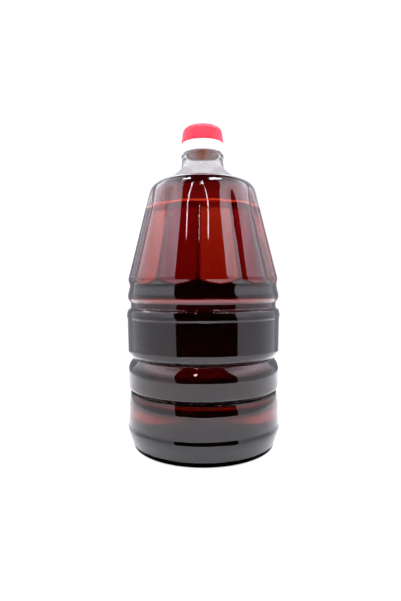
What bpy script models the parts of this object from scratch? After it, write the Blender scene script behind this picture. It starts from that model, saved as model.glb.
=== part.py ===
"""Sesame oil bottle: a lobed PET bottle, the oil in it, a white collar and a red cap.

Everything is turned round the Z axis, in metres. The bottle stands on z = 0.
"""

import math

import bmesh
import bpy

# ---------------------------------------------------------------- driving dimensions

WALL = 0.0008               # thickness of the bottle's wall
GAP = 0.0003                # clearance between pieces that touch

# Foot and heel: outline points are (radius, height)
PUSH_UP_HEIGHT = 0.0070             # how far the middle of the underside is raised
PUSH_UP_SHOULDER = (0.0300, 0.0052)
FOOT_INNER_R = 0.0440               # inner edge of the flat ring that the bottle stands on
HEEL = (0.0560, 0.0)                # corner that the heel rounds off
HEEL_ROUND = 0.0035
HEEL_TOP = (0.0602, 0.0125)
LOW_BEAD = (0.0613, 0.0168)         # bead above the heel
LOW_BEAD_TOP_Z = 0.0196

# Straight body. A groove is (height, depth, width of its lower wall, width of its upper wall)
RING_R = 0.0604                     # the two rings below the belt
LOWER_GROOVE = (0.0450, 0.0040, 0.0070, 0.0036)
UPPER_GROOVE = (0.0699, 0.0040, 0.0075, 0.0056)
BELT_R = 0.0601
BELT_BEAD = [(0.0606, 0.1010), (0.0611, 0.1030), (0.0603, 0.1078)]
BELT_TOP_GROOVE = [(0.0580, 0.1097), (0.0580, 0.1136)]
WAIST_BEAD = [(0.0601, 0.1166), (0.0602, 0.1195)]
WAIST = (0.0585, 0.1272)            # plain band below the lobes

# Tapering shoulder and its lobes
LOBES = 12
LOBE_TURN = math.radians(-3.4)      # angle of one valley, from the front, -Y
LOBE_HEEL = (0.0599, 0.1314)        # lower corner of the lobes' outline
LOBE_HEEL_ROUND = 0.0050
LOBE_ROUND = 0.0274                 # radius of a lobe's own curve, seen from above, at its heel
LOBE_ROUND_RATE = 0.76              # how much smaller it gets as the body narrows
LOBE_ROUND_LEAST = 0.0185
WAIST_SLOPE = 0.30                  # how fast the waist draws in between the lobes' ends
TAPER_MIDDLE = 0.45                 # share of the way up the taper where its faces are divided
SHOULDER = (0.0409, 0.2074)         # corner where the taper meets the dome
SHOULDER_ROUND = 0.0122
LOBE_FADE_Z = (0.1840, 0.2105)      # the lobes fade out between these heights

# Dome and neck
DOME_EDGE = (0.0290, 0.2096)        # where the dome starts to rise into the neck
NECK_FOOT = (0.0176, 0.2197)
NECK_WAIST = (0.0163, 0.2253)
NECK_BEAD = (0.0172, 0.2292)
NECK_TOP = (0.0164, 0.2313)         # shelf that the collar sits on
FINISH_R = 0.0136                   # tube inside the collar and the cap
MOUTH_Z = 0.2480
BORE_R = 0.0118
BORE_FOOT_Z = 0.2330
NECK_BORE_R = 0.0148

OIL_LEVEL = 0.1860

# Collar and cap
CLOSURE_R = 0.0168
CLOSURE_BORE_R = FINISH_R + GAP
COLLAR_Z = NECK_TOP[1] + GAP
COLLAR_EDGE = 0.0004
CAP_Z = 0.2399
CAP_TOP = (0.0153, 0.2523)          # the cap's side leans in towards this top corner
CAP_ROUND = 0.0046                  # rounding of that corner
CAP_RIBS = 60
CAP_RIB_DEPTH = 0.00035

# Facets
LOBE_FACETS = 4
BODY_FACETS = LOBES * LOBE_FACETS   # round the bottle and the oil
RING_FACETS = 48                    # round the collar
ARC_STEP = math.radians(26)         # largest turn of one facet along a rounded outline
SHARP_ANGLE = math.radians(35)      # edges that turn more than this are shaded sharp


# ---------------------------------------------------------------- outlines

def between(low, high, share):
    """Value that lies the given share of the way from low to high."""
    return low + (high - low) * share


def rounded_corner(before, corner, after, radius):
    """Points of the arc that rounds a corner of an outline off."""
    to_before = (before[0] - corner[0], before[1] - corner[1])
    to_after = (after[0] - corner[0], after[1] - corner[1])
    length_before = math.hypot(*to_before)
    length_after = math.hypot(*to_after)
    u = (to_before[0] / length_before, to_before[1] / length_before)
    v = (to_after[0] / length_after, to_after[1] / length_after)
    turn = math.pi - math.acos(u[0] * v[0] + u[1] * v[1])
    reach = radius * math.tan(turn / 2)
    bisector = (u[0] + v[0], u[1] + v[1])
    scale = radius / math.cos(turn / 2) / math.hypot(*bisector)
    centre = (corner[0] + bisector[0] * scale, corner[1] + bisector[1] * scale)
    start = (corner[0] + u[0] * reach - centre[0], corner[1] + u[1] * reach - centre[1])
    side = 1 if u[0] * v[1] - u[1] * v[0] < 0 else -1
    steps = max(1, math.ceil(turn / ARC_STEP))
    points = []
    for step in range(steps + 1):
        angle = side * turn * step / steps
        points.append((centre[0] + start[0] * math.cos(angle) - start[1] * math.sin(angle),
                       centre[1] + start[0] * math.sin(angle) + start[1] * math.cos(angle)))
    return points


def groove(radius_below, radius_above, feature):
    """V-groove between two walls of the given radii."""
    height, depth, below, above = feature
    return [(radius_below, height - below), (radius_above - depth, height), (radius_above, height + above)]


def underside():
    """From the axis out to the flat ring that the bottle stands on."""
    return [(0.0, PUSH_UP_HEIGHT), PUSH_UP_SHOULDER, (FOOT_INNER_R, 0.0)]


def body_side():
    """Outer side from the foot to the foot of the neck."""
    side = rounded_corner((FOOT_INNER_R, 0.0), HEEL, HEEL_TOP, HEEL_ROUND)
    side += [HEEL_TOP, LOW_BEAD, (RING_R, LOW_BEAD_TOP_Z)]
    side += groove(RING_R, RING_R, LOWER_GROOVE)
    side += groove(RING_R, BELT_R, UPPER_GROOVE)
    side += BELT_BEAD + BELT_TOP_GROOVE + WAIST_BEAD + [WAIST]
    side += rounded_corner(WAIST, LOBE_HEEL, SHOULDER, LOBE_HEEL_ROUND)
    side += [along_taper(TAPER_MIDDLE), oil_line()]
    side += rounded_corner(LOBE_HEEL, SHOULDER, DOME_EDGE, SHOULDER_ROUND)
    side += [DOME_EDGE, NECK_FOOT]
    return side


def along_taper(share):
    """Point of the straight taper between the lobes' ends and the shoulder."""
    return (between(LOBE_HEEL[0], SHOULDER[0], share), between(LOBE_HEEL[1], SHOULDER[1], share))


def oil_line():
    """Point of the taper whose inset for the oil lies exactly at the oil's level."""
    inward = LOBE_HEEL[0] - SHOULDER[0]
    rise = SHOULDER[1] - LOBE_HEEL[1]
    drop = (WALL + GAP) * inward / math.hypot(inward, rise)
    return along_taper((OIL_LEVEL + drop - LOBE_HEEL[1]) / rise)


def inset(outline, distance):
    """The outline moved inwards by a distance, with its corners kept sharp."""
    moved = []
    for index, point in enumerate(outline):
        directions = []
        for a, b in ((index - 1, index), (index, index + 1)):
            if a >= 0 and b < len(outline):
                step = (outline[b][0] - outline[a][0], outline[b][1] - outline[a][1])
                length = math.hypot(*step)
                directions.append((step[0] / length, step[1] / length))
        normals = [(direction[1], -direction[0]) for direction in directions]
        total = (sum(normal[0] for normal in normals), sum(normal[1] for normal in normals))
        length = math.hypot(*total)
        miter = (total[0] / length, total[1] / length)
        reach = distance / (miter[0] * normals[0][0] + miter[1] * normals[0][1])
        radius = point[0] - miter[0] * reach if point[0] > 0 else 0.0
        moved.append((radius, point[1] - miter[1] * reach))
    return moved


def neck_outline():
    """From the neck's waist up over the lip and back down the bore."""
    outside = [NECK_WAIST, NECK_BEAD, NECK_TOP, (FINISH_R, NECK_TOP[1]), (FINISH_R, MOUTH_Z)]
    bore = [(BORE_R, MOUTH_Z), (BORE_R, BORE_FOOT_Z), (NECK_BORE_R, NECK_BEAD[1]),
            (NECK_BORE_R, NECK_WAIST[1])]
    return outside + bore


def collar_outline():
    """Closed outline of the collar, from z = 0."""
    height = CAP_Z - GAP - COLLAR_Z
    return [(CLOSURE_BORE_R, 0.0), (CLOSURE_R - COLLAR_EDGE, 0.0), (CLOSURE_R, COLLAR_EDGE),
            (CLOSURE_R, height), (CLOSURE_BORE_R, height)]


def cap_bore():
    """From the middle of the cap's ceiling down its bore, from z = 0."""
    ceiling = MOUTH_Z + GAP - CAP_Z
    return [(0.0, ceiling), (CLOSURE_BORE_R, ceiling), (CLOSURE_BORE_R, 0.0)]


def cap_side():
    """Side of the cap from its lower edge to where its top starts to round off."""
    top = CAP_TOP[1] - CAP_Z
    return [(CLOSURE_R, 0.0)] + rounded_corner((CLOSURE_R, 0.0), (CAP_TOP[0], top), (0.0, top), CAP_ROUND)


# ---------------------------------------------------------------- rows of points

# A row is (radius, height, draw), where draw(angle) says how far the row lies inside that
# radius at an angle round the axis.

def no_draw(angle):
    """A plain circle."""
    return 0.0


def plain_rows(outline):
    return [(radius, height, no_draw) for radius, height in outline]


def lobe_reach(radius, from_crest):
    """How far a lobe's own circle reaches from the axis, at an angle from its crest."""
    lobe_round = max(LOBE_ROUND_LEAST, LOBE_ROUND - LOBE_ROUND_RATE * (LOBE_HEEL[0] - radius))
    centre = radius - lobe_round
    across = centre * math.sin(from_crest)
    return centre * math.cos(from_crest) + math.sqrt(lobe_round ** 2 - across ** 2)


def lobe_draw(radius, height):
    """How far the bottle's side draws in between the lobes' crests, at one height."""
    if height < WAIST[1] or height > LOBE_FADE_Z[1]:
        return no_draw
    lobe_angle = 2 * math.pi / LOBES
    waist = min(radius, WAIST[0] - WAIST_SLOPE * (height - WAIST[1]))
    fade = min(1.0, (LOBE_FADE_Z[1] - height) / (LOBE_FADE_Z[1] - LOBE_FADE_Z[0]))
    fade = fade * fade * (3 - 2 * fade)

    def draw(angle):
        from_crest = (angle - LOBE_TURN) % lobe_angle - lobe_angle / 2
        return fade * (radius - max(lobe_reach(radius, from_crest), waist))
    return draw


def lobed_rows(outside, surface):
    """Rows of a surface that follows the bottle's outside point by point."""
    return [(radius, height, lobe_draw(*outer)) for outer, (radius, height) in zip(outside, surface)]


def bottle_rows():
    """From the underside's middle, up the outside, over the lip and down the inside."""
    outside = underside() + body_side()
    inside = inset(outside + [NECK_WAIST], WALL)[:-1]
    return lobed_rows(outside, outside) + plain_rows(neck_outline()) + lobed_rows(outside, inside)[::-1]


def oil_rows():
    """From the middle of the bottle's floor up its wall to the level, and back to the axis."""
    outside = underside() + body_side()
    inside = inset(outside, WALL + GAP)
    count = outside.index(oil_line()) + 1
    return lobed_rows(outside[:count], inside[:count]) + plain_rows([(0.0, OIL_LEVEL)])


def cap_rows():
    """The cap's outline, with furrows between the ribs of its side."""
    def furrow(angle):
        facet = round((angle - LOBE_TURN) / (math.pi / CAP_RIBS))
        return CAP_RIB_DEPTH * (facet % 2)
    foot, round_start, *edge = cap_side()
    ribbed = [(radius, height, furrow) for radius, height in (foot, round_start)]
    return plain_rows(cap_bore()) + ribbed + plain_rows(edge + [(0.0, CAP_TOP[1] - CAP_Z)])


# ---------------------------------------------------------------- meshes

def ring_of_points(bm, radius, height, draw, facets):
    """One turn of points, or the single point on the axis."""
    if radius == 0.0:
        return [bm.verts.new((0.0, 0.0, height))]
    ring = []
    for facet in range(facets):
        angle = 2 * math.pi * facet / facets + LOBE_TURN
        reach = radius - draw(angle)
        ring.append(bm.verts.new((reach * math.sin(angle), -reach * math.cos(angle), height)))
    return ring


def split_quad(corners, facet, climbs):
    """Two triangles, parted from the lobe's valley below to its crest above, on every surface alike."""
    a, b, c, d = corners
    towards_crest = facet % LOBE_FACETS < LOBE_FACETS / 2
    if towards_crest == climbs:
        return [(a, b, c), (a, c, d)]
    return [(a, b, d), (b, c, d)]


def turned_mesh(name, rows, facets, closed=False):
    """Mesh of rows of points round Z. Open rows start and end on the axis, closed ones make a ring."""
    bm = bmesh.new()
    rings = [ring_of_points(bm, radius, height, draw, facets) for radius, height, draw in rows]
    pairs = list(zip(rings, rings[1:]))
    if closed:
        pairs.append((rings[-1], rings[0]))
    for lower, upper in pairs:
        climbs = lower[0].co.z < upper[0].co.z
        for facet in range(facets):
            after = (facet + 1) % facets
            corners = [lower[facet % len(lower)], lower[after % len(lower)],
                       upper[after % len(upper)], upper[facet % len(upper)]]
            distinct = list(dict.fromkeys(corners))
            for triangle in [distinct] if len(distinct) == 3 else split_quad(corners, facet, climbs):
                bm.faces.new(triangle)
    mesh = bpy.data.meshes.new(name)
    bm.to_mesh(mesh)
    bm.free()
    mesh.shade_smooth()
    mesh.set_sharp_from_angle(angle=SHARP_ANGLE)
    return mesh


# ---------------------------------------------------------------- materials

def principled(name, colour, roughness, transmission=0.0, ior=1.5):
    """A Principled material of one colour."""
    material = bpy.data.materials.new(name)
    material.use_nodes = True
    shader = material.node_tree.nodes["Principled BSDF"]
    shader.inputs["Base Color"].default_value = (*colour, 1.0)
    shader.inputs["Roughness"].default_value = roughness
    shader.inputs["Metallic"].default_value = 0.0
    shader.inputs["Transmission Weight"].default_value = transmission
    shader.inputs["IOR"].default_value = ior
    return material


def clear_plastic():
    return principled("clear_pet", (0.93, 0.94, 0.95), 0.04, transmission=1.0, ior=1.57)


def dark_oil():
    return principled("sesame_oil", (0.075, 0.006, 0.002), 0.05, ior=1.47)


def red_plastic():
    return principled("red_plastic", (0.86, 0.045, 0.085), 0.38)


def white_plastic():
    return principled("white_plastic", (0.90, 0.91, 0.91), 0.35)


# ---------------------------------------------------------------- the bottle's pieces

def place(name, mesh, material, carrier, height=0.0):
    """One named piece, at a height on the bottle's axis."""
    piece = bpy.data.objects.new(name, mesh)
    piece.location = (0.0, 0.0, height)
    piece.parent = carrier
    mesh.materials.append(material)
    bpy.context.scene.collection.objects.link(piece)
    return piece


def make_bottle(carrier):
    """Clear shell with its mouth open under the cap."""
    mesh = turned_mesh("bottle", bottle_rows(), BODY_FACETS)
    place("bottle", mesh, clear_plastic(), carrier)


def make_oil(carrier):
    mesh = turned_mesh("oil", oil_rows(), BODY_FACETS)
    place("oil", mesh, dark_oil(), carrier)


def make_collar(carrier):
    mesh = turned_mesh("collar", plain_rows(collar_outline()), RING_FACETS, closed=True)
    place("collar", mesh, white_plastic(), carrier, COLLAR_Z)


def make_cap(carrier):
    mesh = turned_mesh("cap", cap_rows(), 2 * CAP_RIBS)
    place("cap", mesh, red_plastic(), carrier, CAP_Z)


def main():
    for thing in list(bpy.data.objects):
        bpy.data.objects.remove(thing, do_unlink=True)
    carrier = bpy.data.objects.new("sesame_oil_bottle", None)
    bpy.context.scene.collection.objects.link(carrier)
    make_bottle(carrier)
    make_oil(carrier)
    make_collar(carrier)
    make_cap(carrier)


main()
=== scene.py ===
"""Looks of the sesame oil bottle: fine surfaces, materials, studio light and camera."""
import math

import bpy
from mathutils import Euler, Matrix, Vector


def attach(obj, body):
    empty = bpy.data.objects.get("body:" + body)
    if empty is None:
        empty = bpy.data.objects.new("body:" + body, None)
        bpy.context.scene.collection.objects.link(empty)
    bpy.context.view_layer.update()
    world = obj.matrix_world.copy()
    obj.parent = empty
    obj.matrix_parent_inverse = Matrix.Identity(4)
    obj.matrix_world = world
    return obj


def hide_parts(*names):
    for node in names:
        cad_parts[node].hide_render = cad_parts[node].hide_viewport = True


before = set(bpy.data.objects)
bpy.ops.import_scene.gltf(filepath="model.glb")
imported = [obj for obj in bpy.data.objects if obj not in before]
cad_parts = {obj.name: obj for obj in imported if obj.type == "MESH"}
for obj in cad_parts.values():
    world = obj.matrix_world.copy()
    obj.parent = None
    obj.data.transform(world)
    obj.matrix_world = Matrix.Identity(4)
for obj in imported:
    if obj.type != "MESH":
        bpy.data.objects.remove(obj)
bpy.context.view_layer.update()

# ---------------------------------------------------------------- sizes, in metres

WALL = 0.0008                       # thickness of the bottle's wall
OIL_INTO_WALL = 0.0005              # how far the oil reaches into the wall
GAP = 0.0003                        # clearance between pieces that touch

# Foot and heel: outline corners are (radius, height, rounding)
PUSH_UP = [(0.0000, 0.0070, 0.0), (0.0300, 0.0052, 0.0100), (0.0440, 0.0, 0.0012)]
HEEL = [(0.0560, 0.0, 0.0035), (0.0602, 0.0125, 0.0100)]
LOW_BEAD = [(0.0613, 0.0168, 0.0030), (0.0604, 0.0196, 0.0030)]

# Straight body
LOWER_GROOVE = [(0.0604, 0.0382, 0.0280), (0.0586, 0.0440, 0.0004), (0.0564, 0.0450, 0.0003),
                (0.0604, 0.0475, 0.0030)]
UPPER_GROOVE = [(0.0604, 0.0644, 0.0122), (0.0563, 0.0699, 0.0003), (0.0601, 0.0745, 0.0040)]
BELT = [(0.0606, 0.1010, 0.0003), (0.0610, 0.1024, 0.0006), (0.0611, 0.1042, 0.0030),
        (0.0603, 0.1078, 0.0010)]
BELT_TOP_GROOVE = [(0.0580, 0.1097, 0.0010), (0.0580, 0.1136, 0.0016)]
WAIST_BEAD = [(0.0601, 0.1166, 0.0014), (0.0602, 0.1195, 0.0040)]
WAIST = (0.0585, 0.1272, 0.0060)

# Tapering shoulder
LOBE_HEEL = (0.0599, 0.1314, 0.0050)
SHOULDER = (0.0409, 0.2074, 0.0122)

# Its lobes, each an arc of its own when seen from above
LOBES = 12
LOBE_TURN = math.radians(-3.4)      # angle of one valley, from the front, -Y
LOBE_ROUND = 0.0256                 # radius of a lobe's arc where the body's is LOBE_ROUND_AT
LOBE_ROUND_AT = 0.0573
LOBE_ROUND_RATE = 0.76              # how fast it shrinks as the body does
LOBE_ROUND_LEAST = 0.0185
WAIST_R = 0.0589                    # of the waist between the lobes, at its lower edge
WAIST_SLOPE = 0.30                  # how fast the waist draws in between the lobes' ends
LOBE_FADE_Z = (0.1840, 0.2105)      # the lobes fade out between these heights
VALLEY_BLEND = 0.0004               # depth over which one lobe blends into the next
WAIST_BLEND = 0.0004                # and into the waist
LOBE_EDGE = 0.0003                  # rise of a lobe above the waist over which its colour sets in
VALLEY_SHADE_WIDTH = 0.0015         # how far the shade of a valley reaches to each side
DARK_LOBE = 0.5                     # shade of every other lobe
COUNT_NUDGE = 0.01                  # share of a lobe, so that a point on a valley is counted surely

# Dome and neck
DOME_EDGE = (0.0290, 0.2096, 0.0030)
NECK_FOOT = (0.0176, 0.2197, 0.0030)
NECK_WAIST = (0.0163, 0.2253, 0.0030)
NECK_BEAD = (0.0172, 0.2292, 0.0014)
NECK_TOP = (0.0164, 0.2313, 0.0004)
NECK_BORE_R = 0.0148
FINISH_R = 0.0136                   # tube inside the collar and the cap
FINISH_ROUND = 0.0006               # at its foot
MOUTH_Z = 0.2480
LIP_ROUND = 0.0005
BORE_R = 0.0118
BORE_FOOT_Z = 0.2330
BORE_ROUND = 0.0020

# Collar: a plain ring with a low rim that stands proud at its foot
COLLAR_R = 0.0168
COLLAR_TOP_Z = 0.2396
COLLAR_EDGE_ROUNDS = (0.0005, 0.0004)   # at its foot and its top
COLLAR_BORE_ROUND = 0.0002
COLLAR_SEAM = 0.0020                # how far up its bore the outline starts
RIM_HEIGHT = 0.0018
RIM_STEP = (0.0002, 0.0003)         # inwards and up, from the rim to the ring above
RIM_ROUND = 0.0003

# Cap
CAP_R = 0.0168
CAP_Z = 0.2399
CAP_EDGE_ROUND = 0.0003
CAP_TOP = (0.0153, 0.2523, 0.0046)
CEILING_ROUND = 0.0004
CAP_RIBS = 60
CAP_RIB_DEPTH = 0.0005
CAP_RIBS_TOP_Z = 0.2500             # the ribs fade out above this height

# Oil
OIL_LEVEL = 0.1860
OIL_TOP = 0.1866                    # at the wall
MENISCUS = [(0.0005, 0.0003), (0.0012, 0.0001), (0.0022, 0.0)]  # inwards from the wall, and up

# Fineness
BODY_FACETS = 144
CAP_FACETS = 8 * CAP_RIBS
ARC_STEP = math.radians(14)
STRAIGHT = math.radians(1)          # a corner that turns less isn't rounded
SIDE_SHARE = 0.90                   # share of a straight side that one rounding may take up
MITRE_LIMIT = 2.0                   # how much further a sharp corner may move than a straight side
ROW_STEP = 0.0022                   # largest step along a straight stretch
LOBE_END_STEP = 0.0006              # and where the lobes end above the waist
LOBE_END_Z = (0.1272, 0.1420)
ROW_NUDGE = 0.0001                  # tells on which side of a limit a stretch lies
SHARP = math.radians(60)            # the oil's edges that turn more aren't shaded smooth

# ---------------------------------------------------------------- outlines


def arc_corner(before, corner, after, radius):
    """Points of the arc that rounds a corner of an outline off, as large as its sides allow."""
    corner = Vector(corner)
    to_before = Vector(before) - corner
    to_after = Vector(after) - corner
    turn = math.pi - to_before.angle(to_after)
    if turn < STRAIGHT or radius == 0.0:
        return [tuple(corner)]
    reach = min(radius * math.tan(turn / 2), SIDE_SHARE * min(to_before.length, to_after.length))
    radius = reach / math.tan(turn / 2)
    start = corner + to_before.normalized() * reach
    end = corner + to_after.normalized() * reach
    middle = (start + end) / 2
    along = (end - start).normalized()
    out = (corner - middle).normalized()
    steps = max(2, math.ceil(turn / ARC_STEP))
    points = []
    for step in range(steps + 1):
        sweep = (step / steps - 0.5) * turn
        rise = radius * (math.cos(sweep) - math.cos(turn / 2))
        points.append(tuple(middle + along * (radius * math.sin(sweep)) + out * rise))
    return points


def rounded_outline(corners):
    """Outline through corners (radius, height, rounding), with each corner rounded off."""
    points = [corners[0][:2]]
    for before, corner, after in zip(corners, corners[1:], corners[2:]):
        points += arc_corner(before[:2], corner[:2], after[:2], corner[2])
    points.append(corners[-1][:2])
    return points


def row_step(height):
    return LOBE_END_STEP if LOBE_END_Z[0] < height < LOBE_END_Z[1] else ROW_STEP


def with_more_rows(outline):
    """The outline with its long straight stretches divided."""
    dense = [outline[0]]
    for before, after in zip(outline, outline[1:]):
        length = math.dist(before, after)
        step = min(row_step(before[1] + ROW_NUDGE), row_step(after[1] - ROW_NUDGE))
        count = max(1, math.ceil(length / step))
        for index in range(1, count + 1):
            share = index / count
            dense.append((before[0] + (after[0] - before[0]) * share,
                          before[1] + (after[1] - before[1]) * share))
    return dense


def level_corner():
    """A point of the straight shoulder, at the oil's level, so that a row lies there."""
    rise = (OIL_TOP - LOBE_HEEL[1]) / (SHOULDER[1] - LOBE_HEEL[1])
    return LOBE_HEEL[0] + rise * (SHOULDER[0] - LOBE_HEEL[0]), OIL_TOP, 0.0


def body_corners():
    """Corners of the outside, from the middle of the underside to the foot of the neck."""
    corners = PUSH_UP + HEEL + LOW_BEAD + LOWER_GROOVE + UPPER_GROOVE + BELT + BELT_TOP_GROOVE
    return corners + WAIST_BEAD + [WAIST, LOBE_HEEL, level_corner(), SHOULDER, DOME_EDGE]


def outside_outline():
    corners = body_corners() + [NECK_FOOT, NECK_WAIST, NECK_BEAD, NECK_TOP]
    return with_more_rows(rounded_outline(corners))


def neck_outline():
    """From the collar's shelf up over the lip and down the bore."""
    corners = [NECK_TOP, (FINISH_R, NECK_TOP[1], FINISH_ROUND), (FINISH_R, MOUTH_Z, LIP_ROUND),
               (BORE_R, MOUTH_Z, LIP_ROUND), (BORE_R, BORE_FOOT_Z, BORE_ROUND),
               (NECK_BORE_R, NECK_BEAD[1], BORE_ROUND), (NECK_BORE_R, NECK_WAIST[1], 0.0)]
    return rounded_outline(corners)


def inset(outline, distance):
    """The outline moved inwards by a distance."""
    moved = []
    for index, point in enumerate(outline):
        normals = []
        for a, b in ((index - 1, index), (index, index + 1)):
            if a >= 0 and b < len(outline):
                step = Vector(outline[b]) - Vector(outline[a])
                normals.append(Vector((step.y, -step.x)).normalized())
        total = sum(normals, Vector((0.0, 0.0))).normalized()
        reach = distance / max(1 / MITRE_LIMIT, total.dot(normals[0]))
        radius = point[0] - total.x * reach if point[0] > 0 else 0.0
        moved.append((max(0.0, radius), point[1] - total.y * reach))
    return moved


# ---------------------------------------------------------------- rings

# A ring's shape gives three values by angle: how far the side draws in, how much of a lobe is
# there, and its shade.


def smooth_max(a, b, blend):
    """The larger of two values, blended where they are close."""
    overlap = max(blend - abs(a - b), 0.0) / blend
    return max(a, b) + overlap * overlap * blend / 4


def lobe_reach(body_radius, angle):
    """How far a lobe's own arc reaches from the axis, at an angle from its crest."""
    lobe_round = LOBE_ROUND + LOBE_ROUND_RATE * (body_radius - LOBE_ROUND_AT)
    lobe_round = max(LOBE_ROUND_LEAST, lobe_round)
    centre = body_radius - lobe_round
    inside = lobe_round ** 2 - (centre * math.sin(angle)) ** 2
    return centre * math.cos(angle) + math.sqrt(max(0.0, inside))


def plain_ring(angle):
    """A circle without lobes, whose shade grows towards the diagonals."""
    return 0.0, 0.0, math.sin(2 * angle) ** 2


def shoulder_ring(angle):
    """A circle above the lobes, which belongs to them."""
    return 0.0, 1.0, 0.0


def lobed_ring(radius, height):
    """The shape of the side at a height. Its shade, painted on the oil, is darker on every other
    lobe and darkest in the valleys.
    """
    if height < WAIST[1]:
        return plain_ring
    if height > LOBE_FADE_Z[1]:
        return shoulder_ring
    lobe_angle = 2 * math.pi / LOBES
    waist = min(radius, WAIST_R - WAIST_SLOPE * (height - WAIST[1]))
    fade = min(1.0, (LOBE_FADE_Z[1] - height) / (LOBE_FADE_Z[1] - LOBE_FADE_Z[0]))
    fade = fade * fade * (3 - 2 * fade)

    def shape(angle):
        from_crest = (angle - LOBE_TURN) % lobe_angle - lobe_angle / 2
        own = lobe_reach(radius, from_crest)
        next_one = lobe_reach(radius, lobe_angle - abs(from_crest))
        lobed = smooth_max(own, next_one, VALLEY_BLEND)
        draw = fade * max(0.0, radius - smooth_max(lobed, waist, WAIST_BLEND))
        share = (lobed - waist) / LOBE_EDGE
        from_valley = (lobe_angle / 2 - abs(from_crest)) * radius
        valley = 1 - from_valley / VALLEY_SHADE_WIDTH
        odd = math.floor((angle - LOBE_TURN) / lobe_angle + COUNT_NUDGE) % 2
        return draw, min(1.0, max(0.0, share)), max(valley, DARK_LOBE if odd else 0.0)
    return shape


def rib_ring(height):
    """The shape of the cap's side at a height, whose shade, painted in its furrows, is the depth in
    a furrow.
    """
    fade = min(1.0, max(0.0, (CAP_TOP[1] - height) / (CAP_TOP[1] - CAP_RIBS_TOP_Z)))

    def shape(angle):
        furrow = 0.5 + 0.5 * math.cos((angle - LOBE_TURN) * CAP_RIBS)
        return CAP_RIB_DEPTH * fade * furrow ** 2, 0.0, fade * furrow
    return shape


# ---------------------------------------------------------------- meshes

def turned_piece(name, rows, slots, facets=BODY_FACETS, closed=False):
    """Mesh of rows (radius, height, shape, slot) round Z: from axis to axis, or a closed ring.

    The faces between two rows take the later row's slot. Each point carries how much of a lobe
    it lies on and its shade, as the attributes "lobe" and "shade".
    """
    points, shares, shades, faces, face_slots, starts = [], [], [], [], [], []
    for radius, height, shape, _ in rows:
        starts.append((len(points), radius > 0))
        for facet in range(facets if radius > 0 else 1):
            angle = 2 * math.pi * facet / facets + LOBE_TURN
            draw, share, shade = shape(angle)
            reach = radius - draw
            points.append((reach * math.sin(angle), -reach * math.cos(angle), height))
            shares.append(share)
            shades.append(shade)
    pairs = list(zip(starts, starts[1:], rows[1:]))
    if closed:
        pairs.append((starts[-1], starts[0], rows[0]))
    for (low, low_ring), (high, high_ring), row in pairs:
        for facet in range(facets):
            after = (facet + 1) % facets
            corners = [low + facet * low_ring, low + after * low_ring,
                       high + after * high_ring, high + facet * high_ring]
            faces.append(list(dict.fromkeys(corners)))
            face_slots.append(row[3])
    mesh = bpy.data.meshes.new(name)
    mesh.from_pydata(points, [], faces)
    for material in slots:
        mesh.materials.append(material)
    mesh.polygons.foreach_set("material_index", face_slots)
    mesh.attributes.new("lobe", "FLOAT", "POINT").data.foreach_set("value", shares)
    mesh.attributes.new("shade", "FLOAT", "POINT").data.foreach_set("value", shades)
    mesh.shade_smooth()
    piece = bpy.data.objects.new(name, mesh)
    bpy.context.scene.collection.objects.link(piece)
    return piece


# ---------------------------------------------------------------- shader nodes

def link(tree, source, socket):
    """Connects a socket, or sets it to a number or a colour."""
    if isinstance(source, tuple):
        socket.default_value = (*source, 1.0)
    elif isinstance(source, (int, float)):
        socket.default_value = source
    else:
        tree.links.new(source, socket)


def math_node(tree, operation, a, b=0.0):
    node = tree.nodes.new("ShaderNodeMath")
    node.operation = operation
    link(tree, a, node.inputs[0])
    link(tree, b, node.inputs[1])
    return node.outputs[0]


def mix_colour(tree, share, low, high, blend="MIX"):
    node = tree.nodes.new("ShaderNodeMix")
    node.data_type = "RGBA"
    node.blend_type = blend
    for value, socket in ((share, node.inputs[0]), (low, node.inputs[6]), (high, node.inputs[7])):
        link(tree, value, socket)
    return node.outputs[2]


def colour_ramp(tree, value, stops, interpolation="EASE"):
    """Colour by a value, through stops (value, colour)."""
    first, last = stops[0][0], stops[-1][0]
    node = tree.nodes.new("ShaderNodeValToRGB")
    node.color_ramp.interpolation = interpolation
    while len(node.color_ramp.elements) < len(stops):
        node.color_ramp.elements.new(0.5)
    for element, (position, colour) in zip(node.color_ramp.elements, stops):
        element.position = (position - first) / (last - first)
        element.color = (*colour, 1.0)
    from_first = math_node(tree, "SUBTRACT", value, float(first))
    share = math_node(tree, "DIVIDE", from_first, float(last - first))
    tree.links.new(share, node.inputs["Fac"])
    return node.outputs["Color"]


def place(tree):
    """Where a point is, in the piece's own metres."""
    return tree.nodes.new("ShaderNodeTexCoord").outputs["Object"]


def height_above_floor(tree):
    split = tree.nodes.new("ShaderNodeSeparateXYZ")
    tree.links.new(place(tree), split.inputs[0])
    return split.outputs["Z"]


def attribute(tree, name):
    node = tree.nodes.new("ShaderNodeAttribute")
    node.attribute_name = name
    return node.outputs["Fac"]


def inner_side(tree):
    """1 where light meets a surface from its inner side, and 0 from its outer side."""
    return tree.nodes.new("ShaderNodeNewGeometry").outputs["Backfacing"]


def new_material(name):
    material = bpy.data.materials.new(name)
    material.use_nodes = True
    tree = material.node_tree
    return material, tree, tree.nodes["Principled BSDF"]


# ---------------------------------------------------------------- clear plastic and oil

# How strongly each surface bends light. Light passes the wall and the oil as nested surfaces, so
# each is set below its real value, and the whole doesn't bend it too much.
DRY_IOR = 1.35
WET_IOR = 1.45
INNER_WET_IOR = 1.3
OIL_IOR = 1.12
NECK_IOR = 1.2
FOOT_IOR = 1.02

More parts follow.
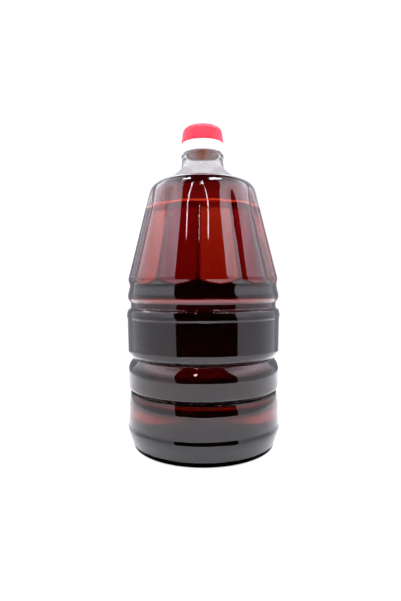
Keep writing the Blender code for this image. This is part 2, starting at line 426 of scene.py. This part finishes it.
CLEAR = (1.0, 1.0, 1.0)
BLACK = (0.0, 0.0, 0.0)
NEARLY_BLACK = (0.0004, 0.0002, 0.0002)
PET_COLOUR = (0.98, 0.985, 0.985)
NECK_COLOUR = (0.80, 0.785, 0.77)
# Nearly black: painted shade along the foot's bottom edge
FOOT_PAINTED_SHADE = (0.001, 0.001, 0.001)
# Painted reflection of the oil in the bore, brown, and paler at the diagonals
BORE_PAINTED_BROWN = (0.95, 0.50, 0.34)
BORE_PALE = (0.98, 0.95, 0.93)
BORE_ROUGHNESS = 0.4
OIL_DENSITY = 62.0
OIL_COLOUR = (0.77, 0.24, 0.0)
REFLECTION_PAINT_TOP_Z = 0.2085                 # up to here the dry wall carries a painted reflection of the oil

# Painted shade and painted light on what shows through the oil's near side below the lobes, by
# height in metres
OIL_PAINTED_LIGHT_AND_SHADE = [
    (0.0000, BLACK),
    (0.0046, BLACK),
    (0.0060, (0.0015, 0.0010, 0.0010)),
    (0.0240, (0.0030, 0.0015, 0.0015)),
    (0.0295, (0.012, 0.005, 0.005)),
    (0.0345, (0.012, 0.005, 0.005)),
    (0.0362, NEARLY_BLACK),
    (0.0412, NEARLY_BLACK),
    (0.0418, (0.110, 0.050, 0.050)),
    (0.0434, (0.110, 0.050, 0.050)),
    (0.0442, NEARLY_BLACK),
    (0.0630, NEARLY_BLACK),
    (0.0645, (0.008, 0.0, 0.0)),
    (0.0690, (0.008, 0.0, 0.0)),
    (0.0720, NEARLY_BLACK),
    (0.1085, NEARLY_BLACK),
    (0.1095, (0.006, 0.0, 0.0)),
    (0.1140, (0.006, 0.0, 0.0)),
    (0.1149, (0.70, 0.80, 0.80)),
    (0.1162, (1.0, 0.85, 0.85)),
    (0.1170, (0.40, 0.20, 0.20)),
    (0.1178, (0.0004, 0.0004, 0.0004)),
    (OIL_LEVEL, (0.0004, 0.0004, 0.0004)),
]
# Extra light at the diagonals
DIAGONAL_TINTS = [(0.0, BLACK), (0.0275, BLACK), (0.0292, (0.12, 0.07, 0.08)),
                  (0.0335, (0.12, 0.07, 0.08)), (0.0355, BLACK), (OIL_LEVEL, BLACK)]
# On the lobes, by their shade: painted shade, darker on every other lobe and darkest in the valleys
LOBE_PAINTED_SHADE = [(0.0, (1.0, 0.9, 0.9)), (0.5, (0.28, 0.01, 0.10)), (1.0, (0.06, 0.002, 0.02))]
# And by height: a band of painted shade just below the oil's surface, and a painted highlight line
# at its very edge
LEVEL_PAINTED_LIGHT_AND_SHADE = [(0.0, CLEAR), (0.1806, CLEAR), (0.1816, (0.25, 0.03, 0.03)),
               (0.1855, (0.25, 0.03, 0.03)), (0.1858, (0.80, 0.03, 0.01)),
               (OIL_TOP, (0.80, 0.03, 0.01))]
# Painted reflection of the oil on the dry wall: a painted highlight just above the oil, and painted
# shade, darkest on the shoulder
LEVEL_PAINTED_HIGHLIGHT = (0.34, 0.002, 0.0002)
HEAD_SPACE_PAINTED_RED = (0.016, 0.000003, 0.000003)
SHOULDER_PAINTED_SHADE = (0.0012, 0.0, 0.0)
HEAD_SPACE_PAINTED_TINTS = [(0.0, LEVEL_PAINTED_HIGHLIGHT), (OIL_TOP + 0.0009, LEVEL_PAINTED_HIGHLIGHT),
              (OIL_TOP + 0.0012, HEAD_SPACE_PAINTED_RED), (0.1992, HEAD_SPACE_PAINTED_RED),
              (0.2006, SHOULDER_PAINTED_SHADE), (REFLECTION_PAINT_TOP_Z, SHOULDER_PAINTED_SHADE)]


def clear_pet(name, ior, colour=PET_COLOUR):
    material, tree, shader = new_material(name)
    shader.inputs["Base Color"].default_value = (*colour, 1.0)
    shader.inputs["Roughness"].default_value = 0.0
    shader.inputs["Transmission Weight"].default_value = 1.0
    shader.inputs["IOR"].default_value = ior
    return material


def painted_oil_reflection():
    """Clear plastic whose near side alone is tinted with a painted reflection of the oil, a painted
    highlight and painted shade.
    """
    material = clear_pet("painted_oil_reflection", DRY_IOR)
    tree = material.node_tree
    # Painted reflection of the oil, with a painted highlight and painted shade, by height
    head_space_paint = colour_ramp(tree, height_above_floor(tree), HEAD_SPACE_PAINTED_TINTS, "LINEAR")
    tint = mix_colour(tree, inner_side(tree), CLEAR, head_space_paint)
    tree.links.new(tint, tree.nodes["Principled BSDF"].inputs["Base Color"])
    return material


def bore_painted_reflection():
    """Inside of the bore, painted brown as a reflection of the oil, and paler at the diagonals."""
    material, tree, shader = new_material("bore_painted_reflection")
    aside = math_node(tree, "POWER", attribute(tree, "shade"), 0.5)
    colour = mix_colour(tree, aside, BORE_PAINTED_BROWN, BORE_PALE)
    tree.links.new(colour, shader.inputs["Base Color"])
    shader.inputs["Roughness"].default_value = BORE_ROUGHNESS
    return material


def oil_material():
    """Dark clear oil. Its near side alone is tinted, by height, lobe and shade, with painted shade
    and painted light.
    """
    material = clear_pet("sesame_oil", OIL_IOR)
    tree = material.node_tree
    height = height_above_floor(tree)
    shade = attribute(tree, "shade")
    # Painted shade and painted light, by height below the lobes
    even = colour_ramp(tree, height, OIL_PAINTED_LIGHT_AND_SHADE)
    diagonal = colour_ramp(tree, height, DIAGONAL_TINTS)
    below = mix_colour(tree, shade, even, diagonal, "ADD")
    # Painted shade of the lobes
    lobes = colour_ramp(tree, shade, LOBE_PAINTED_SHADE, "LINEAR")
    # Painted shade band and painted highlight line at the oil's level
    near_level = colour_ramp(tree, height, LEVEL_PAINTED_LIGHT_AND_SHADE, "LINEAR")
    on_lobes = mix_colour(tree, 1.0, lobes, near_level, "MULTIPLY")
    near_side = mix_colour(tree, attribute(tree, "lobe"), below, on_lobes)
    tint = mix_colour(tree, inner_side(tree), near_side, CLEAR)
    tree.links.new(tint, tree.nodes["Principled BSDF"].inputs["Base Color"])
    absorb = tree.nodes.new("ShaderNodeVolumeAbsorption")
    absorb.inputs["Density"].default_value = OIL_DENSITY
    absorb.inputs["Color"].default_value = (*OIL_COLOUR, 1.0)
    output = tree.nodes["Material Output"]
    tree.links.new(absorb.outputs["Volume"], output.inputs["Volume"])
    return material


# ---------------------------------------------------------------- moulded plastic

WHITE = (0.95, 0.96, 0.96)
WHITE_SEE_INTO = 0.9                # how much of the light soaks in
RED = (0.97, 0.034, 0.082)
RED_SEE_INTO = 0.15
SOAK_DEPTH = 0.004                  # and how deep
MOULDED_ROUGHNESS = 0.35
GRAIN_SCALE = 900.0
GRAIN_SHADE = 0.93                  # the grain's darkest, as a share of the colour
GRAIN_DEPTH = 0.00002
GRAIN_STRENGTH = 0.5
FURROW_PAINTED_SHADE = (0.88, 0.30, 0.45)    # painted shade between the cap's ribs


def moulded(name, colour, see_into):
    """Moulded plastic that light soaks into, with a faint unevenness in its colour and surface."""
    material, tree, shader = new_material(name)
    shader.inputs["Subsurface Weight"].default_value = see_into
    shader.inputs["Subsurface Radius"].default_value = (1.0, 1.0, 1.0)
    shader.inputs["Subsurface Scale"].default_value = SOAK_DEPTH
    shader.inputs["Roughness"].default_value = MOULDED_ROUGHNESS
    grain = tree.nodes.new("ShaderNodeTexNoise")
    grain.inputs["Scale"].default_value = GRAIN_SCALE
    tree.links.new(place(tree), grain.inputs["Vector"])
    darker = tuple(GRAIN_SHADE * value for value in colour)
    mottled = mix_colour(tree, grain.outputs["Fac"], darker, colour)
    # Painted shade: darker in the cap's furrows, by the attribute "furrow"
    painted_furrow_shade = mix_colour(tree, attribute(tree, "furrow"), mottled, FURROW_PAINTED_SHADE, "MULTIPLY")
    tree.links.new(painted_furrow_shade, shader.inputs["Base Color"])
    bump = tree.nodes.new("ShaderNodeBump")
    bump.inputs["Distance"].default_value = GRAIN_DEPTH
    bump.inputs["Strength"].default_value = GRAIN_STRENGTH
    tree.links.new(grain.outputs["Fac"], bump.inputs["Height"])
    tree.links.new(bump.outputs["Normal"], shader.inputs["Normal"])
    return material


# ---------------------------------------------------------------- pieces

# The bottle's material slots, and the heights up to which they reach
# The slot for the inner wall above the oil carries a painted reflection of the oil
DRY, WET, HEAD_SPACE_REFLECTION, INNER_WET, FOOT, NECK, BORE_REFLECTION = range(7)
FOOT_TOP_Z = 0.0055
BORE_REFLECTION_FROM_Z = 0.2326                    # from here the bore is painted brown, a painted reflection of the oil
OUTER_TOPS = [(FOOT, FOOT_TOP_Z), (WET, OIL_TOP), (DRY, DOME_EDGE[1]), (NECK, math.inf)]
INNER_TOPS = [(INNER_WET, OIL_TOP), (HEAD_SPACE_REFLECTION, REFLECTION_PAINT_TOP_Z), (DRY, DOME_EDGE[1]), (NECK, BORE_REFLECTION_FROM_Z),
              (BORE_REFLECTION, math.inf)]


def slot_at(height, tops):
    """The first slot whose top lies above a height."""
    return next(slot for slot, top in tops if height < top)


def settle(piece, node):
    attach(piece, "root")
    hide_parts(node)


def bottle_outside():
    return [(r, z, lobed_ring(r, z), slot_at(z, OUTER_TOPS)) for r, z in outside_outline()]


def bottle_neck():
    """The tube that the cap hides: clear outside, with a bore painted brown as a reflection of the
    oil.
    """
    rows = []
    for r, z in neck_outline()[1:]:
        in_bore = r < (BORE_R + FINISH_R) / 2
        rows.append((r, z, plain_ring, slot_at(z, INNER_TOPS) if in_bore else NECK))
    return rows


def bottle_inside():
    """The wall's inner side, from the neck down to the middle of the foot."""
    outer = with_more_rows(rounded_outline(body_corners() + [NECK_FOOT, NECK_WAIST]))
    inner = inset(outer, WALL)
    slots_above = [slot_at(z, INNER_TOPS) for r, z in inner[1:]]
    rows = [(r, z, lobed_ring(*outside), slot)
            for outside, (r, z), slot in zip(outer, inner, slots_above)]
    return rows[::-1]


def make_bottle():
    slots = {DRY: clear_pet("clear_pet", DRY_IOR),
             WET: clear_pet("clear_pet_wet", WET_IOR),
             HEAD_SPACE_REFLECTION: painted_oil_reflection(),
             INNER_WET: clear_pet("inner_pet_wet", INNER_WET_IOR),
             # the foot's nearly black tint is painted shade
             FOOT: clear_pet("pet_foot_painted_shade", FOOT_IOR, FOOT_PAINTED_SHADE),
             NECK: clear_pet("neck_pet", NECK_IOR, NECK_COLOUR),
             # the bore's brown is a painted reflection of the oil
             BORE_REFLECTION: bore_painted_reflection()}
    rows = bottle_outside() + bottle_neck() + bottle_inside()
    piece = turned_piece("clear_bottle", rows, [slots[slot] for slot in sorted(slots)])
    settle(piece, "bottle")


def make_oil():
    outer = with_more_rows(rounded_outline(body_corners()))
    inner = inset(outer, WALL - OIL_INTO_WALL)
    rows = [(r, z, lobed_ring(*outside), 0)
            for outside, (r, z) in zip(outer, inner) if z < OIL_TOP]
    rim_r, _, rim_shape, _ = rows[-1]
    rows += [(rim_r - inwards, OIL_LEVEL + up, rim_shape, 0) for inwards, up in MENISCUS]
    rows.append((0.0, OIL_LEVEL, plain_ring, 0))
    piece = turned_piece("sesame_oil", rows, [oil_material()])
    piece.data.set_sharp_from_angle(angle=SHARP)
    settle(piece, "oil")


def make_collar():
    bore = FINISH_R + GAP
    foot = NECK_TOP[1] + GAP
    ring_r = COLLAR_R - RIM_STEP[0]
    seam = (bore, foot + COLLAR_SEAM, 0.0)
    corners = [seam, (bore, foot, COLLAR_BORE_ROUND), (COLLAR_R, foot, COLLAR_EDGE_ROUNDS[0]),
               (COLLAR_R, foot + RIM_HEIGHT, RIM_ROUND),
               (ring_r, foot + RIM_HEIGHT + RIM_STEP[1], RIM_ROUND),
               (ring_r, COLLAR_TOP_Z, COLLAR_EDGE_ROUNDS[1]),
               (bore, COLLAR_TOP_Z, COLLAR_BORE_ROUND), seam]
    rows = [(r, z, plain_ring, 0) for r, z in rounded_outline(corners)[:-1]]
    material = moulded("white_plastic", WHITE, WHITE_SEE_INTO)
    piece = turned_piece("collar_ring", rows, [material], closed=True)
    settle(piece, "collar")


def make_cap():
    bore = FINISH_R + GAP
    ceiling = MOUTH_Z + GAP
    inner = rounded_outline([(0.0, ceiling, 0.0), (bore, ceiling, CEILING_ROUND),
                             (bore, CAP_Z, 0.0)])
    outer = with_more_rows(rounded_outline([(bore, CAP_Z, 0.0), (CAP_R, CAP_Z, CAP_EDGE_ROUND),
                                            CAP_TOP, (0.0, CAP_TOP[1], 0.0)]))
    rows = [(r, z, plain_ring, 0) for r, z in inner]
    rows += [(r, z, rib_ring(z) if r > bore else plain_ring, 0) for r, z in outer[1:]]
    material = moulded("red_plastic", RED, RED_SEE_INTO)
    piece = turned_piece("ribbed_cap", rows, [material], CAP_FACETS)
    # The cap's shade, painted darker in its furrows
    piece.data.attributes["shade"].name = "furrow"
    settle(piece, "cap")


# ---------------------------------------------------------------- floor

FLOOR_R = 0.45
FLOOR_SIDES = 128
FLOOR_COLOUR = (0.8, 0.8, 0.8)
FLOOR_ROUGHNESS = 0.6
FLOOR_GLOW = 0.55


def make_floor():
    bpy.ops.mesh.primitive_circle_add(vertices=FLOOR_SIDES, radius=FLOOR_R, fill_type="NGON")
    floor = bpy.context.object
    floor.name = "floor"
    material, tree, shader = new_material("pale_floor")
    shader.inputs["Base Color"].default_value = (*FLOOR_COLOUR, 1.0)
    shader.inputs["Roughness"].default_value = FLOOR_ROUGHNESS
    shader.inputs["Emission Color"].default_value = (1.0, 1.0, 1.0, 1.0)
    shader.inputs["Emission Strength"].default_value = FLOOR_GLOW
    floor.data.materials.append(material)


# ---------------------------------------------------------------- light

# Panels of light. Azimuths run from -Y towards +X; angles are in degrees.
LEFT_EDGE = -41.0                   # azimuth of the left softbox's inner edge at the horizon
RIGHT_EDGE = 50.0
LEFT_SLANT = -0.16                  # degrees that the edge moves for each degree of elevation
RIGHT_SLANT = -0.05
SOFTBOX_GLOW = [(-90, 1.35), (4, 1.35), (24, 2.6), (31, 4.0), (41, 3.8), (50, 2.1), (64, 1.3),
                (72, 0.0)]          # radiance by elevation
BACK_EDGE = 130.0                   # behind the bottle a lit wall takes over from the softboxes
BACK_GLOW = [(130, 1.2), (138, 0.6), (150, 0.5), (160, 0.5), (168, 1.1), (180, 1.1)]
BACK_TOP = 50.0
EDGE_SOFTNESS = 1.0
TOP_SOFTNESS = 2.0
BEYOND = 200.0                      # past any azimuth or elevation
STRIPS = [                          # azimuths, elevations, radiance, softness of the edges
    ((-15.5, -11.5), (34.4, 47.0), 20.0, 0.6),
    ((-86.0, -58.0), (62.0, 76.0), 22.0, 0.8),
    ((19.0, 84.0), (62.0, 76.0), 22.0, 0.8),
]
LIGHT_COLOUR = (0.97, 0.96, 1.05)
FILL = 0.45                         # even light that only dull surfaces get
DARK = 0.01                         # radiance between the panels
BACKDROP = 1.1                      # least radiance of the background in the picture


def ramp(tree, value, low, high):
    """0 below low and 1 above high, smoothly."""
    node = tree.nodes.new("ShaderNodeMapRange")
    node.interpolation_type = "SMOOTHSTEP"
    link(tree, value, node.inputs["Value"])
    node.inputs["From Min"].default_value = low
    node.inputs["From Max"].default_value = high
    return node.outputs["Result"]


def window(tree, value, low, high, soft):
    """1 between low and high and 0 outside them, smoothly."""
    rise = ramp(tree, value, low - soft, low + soft)
    fall = ramp(tree, value, high - soft, high + soft)
    return math_node(tree, "SUBTRACT", rise, fall)


def glow(tree, value, stops):
    """Radiance by angle, through stops (angle, radiance)."""
    brightest = max(radiance for _, radiance in stops)
    greys = [(angle, (radiance / brightest,) * 3) for angle, radiance in stops]
    return math_node(tree, "MULTIPLY", colour_ramp(tree, value, greys), brightest)


def softboxes(tree, azimuth, elevation):
    def slanted(slant):
        return math_node(tree, "SUBTRACT", azimuth, math_node(tree, "MULTIPLY", elevation, slant))
    left = window(tree, slanted(LEFT_SLANT), -BACK_EDGE, LEFT_EDGE, EDGE_SOFTNESS)
    right = window(tree, slanted(RIGHT_SLANT), RIGHT_EDGE, BACK_EDGE, EDGE_SOFTNESS)
    both = math_node(tree, "ADD", left, right)
    return math_node(tree, "MULTIPLY", both, glow(tree, elevation, SOFTBOX_GLOW))


def lit_wall(tree, azimuth, elevation):
    aside = math_node(tree, "ABSOLUTE", azimuth)
    wall = math_node(tree, "MULTIPLY",
                     window(tree, aside, BACK_EDGE, BEYOND, EDGE_SOFTNESS),
                     window(tree, elevation, -BEYOND, BACK_TOP, TOP_SOFTNESS))
    return math_node(tree, "MULTIPLY", wall, glow(tree, aside, BACK_GLOW))


def strip(tree, azimuth, elevation, azimuths, elevations, radiance, soft):
    inside = math_node(tree, "MULTIPLY",
                       window(tree, azimuth, *azimuths, soft),
                       window(tree, elevation, *elevations, soft))
    return math_node(tree, "MULTIPLY", inside, radiance)


def make_world():
    world = bpy.data.worlds.new("studio")
    bpy.context.scene.world = world
    world.use_nodes = True
    tree = world.node_tree
    back = tree.nodes["Background"]
    back.inputs["Color"].default_value = (*LIGHT_COLOUR, 1.0)
    coordinates = tree.nodes.new("ShaderNodeTexCoord")
    split = tree.nodes.new("ShaderNodeSeparateXYZ")
    tree.links.new(coordinates.outputs["Generated"], split.inputs[0])
    x, y, z = split.outputs
    ahead = math_node(tree, "MULTIPLY", y, -1.0)
    azimuth = math_node(tree, "DEGREES", math_node(tree, "ARCTAN2", x, ahead))
    elevation = math_node(tree, "DEGREES", math_node(tree, "ARCSINE", z))
    total = math_node(tree, "ADD", softboxes(tree, azimuth, elevation),
                      lit_wall(tree, azimuth, elevation))
    for panel in STRIPS:
        total = math_node(tree, "ADD", total, strip(tree, azimuth, elevation, *panel))
    rays = tree.nodes.new("ShaderNodeLightPath")
    fill = math_node(tree, "MULTIPLY", rays.outputs["Is Diffuse Ray"], FILL)
    total = math_node(tree, "ADD", math_node(tree, "ADD", total, fill), DARK)
    backdrop = math_node(tree, "MULTIPLY", rays.outputs["Is Camera Ray"], BACKDROP)
    tree.links.new(math_node(tree, "MAXIMUM", total, backdrop), back.inputs["Strength"])


# ---------------------------------------------------------------- camera

CAMERA_PLACE = (0.0, -0.354, 0.125)
LENS = 26.16                        # in millimetres
SENSOR = 36.0                       # along the frame's longer side
PITCH = math.radians(-1.67)
ROLL = math.radians(-0.26)
PAN = math.radians(0.35)


def make_camera():
    data = bpy.data.cameras.new("camera")
    data.sensor_width = SENSOR
    data.lens = LENS
    camera = bpy.data.objects.new("camera", data)
    bpy.context.scene.collection.objects.link(camera)
    camera.location = CAMERA_PLACE
    look = Euler((math.radians(90) + PITCH, 0.0, PAN)).to_matrix()
    camera.rotation_euler = (look @ Euler((0.0, 0.0, ROLL)).to_matrix()).to_euler()
    bpy.context.scene.camera = camera


make_bottle()
make_oil()
make_collar()
make_cap()
make_floor()
make_world()
make_camera()
bpy.context.scene.view_settings.view_transform = "Standard"
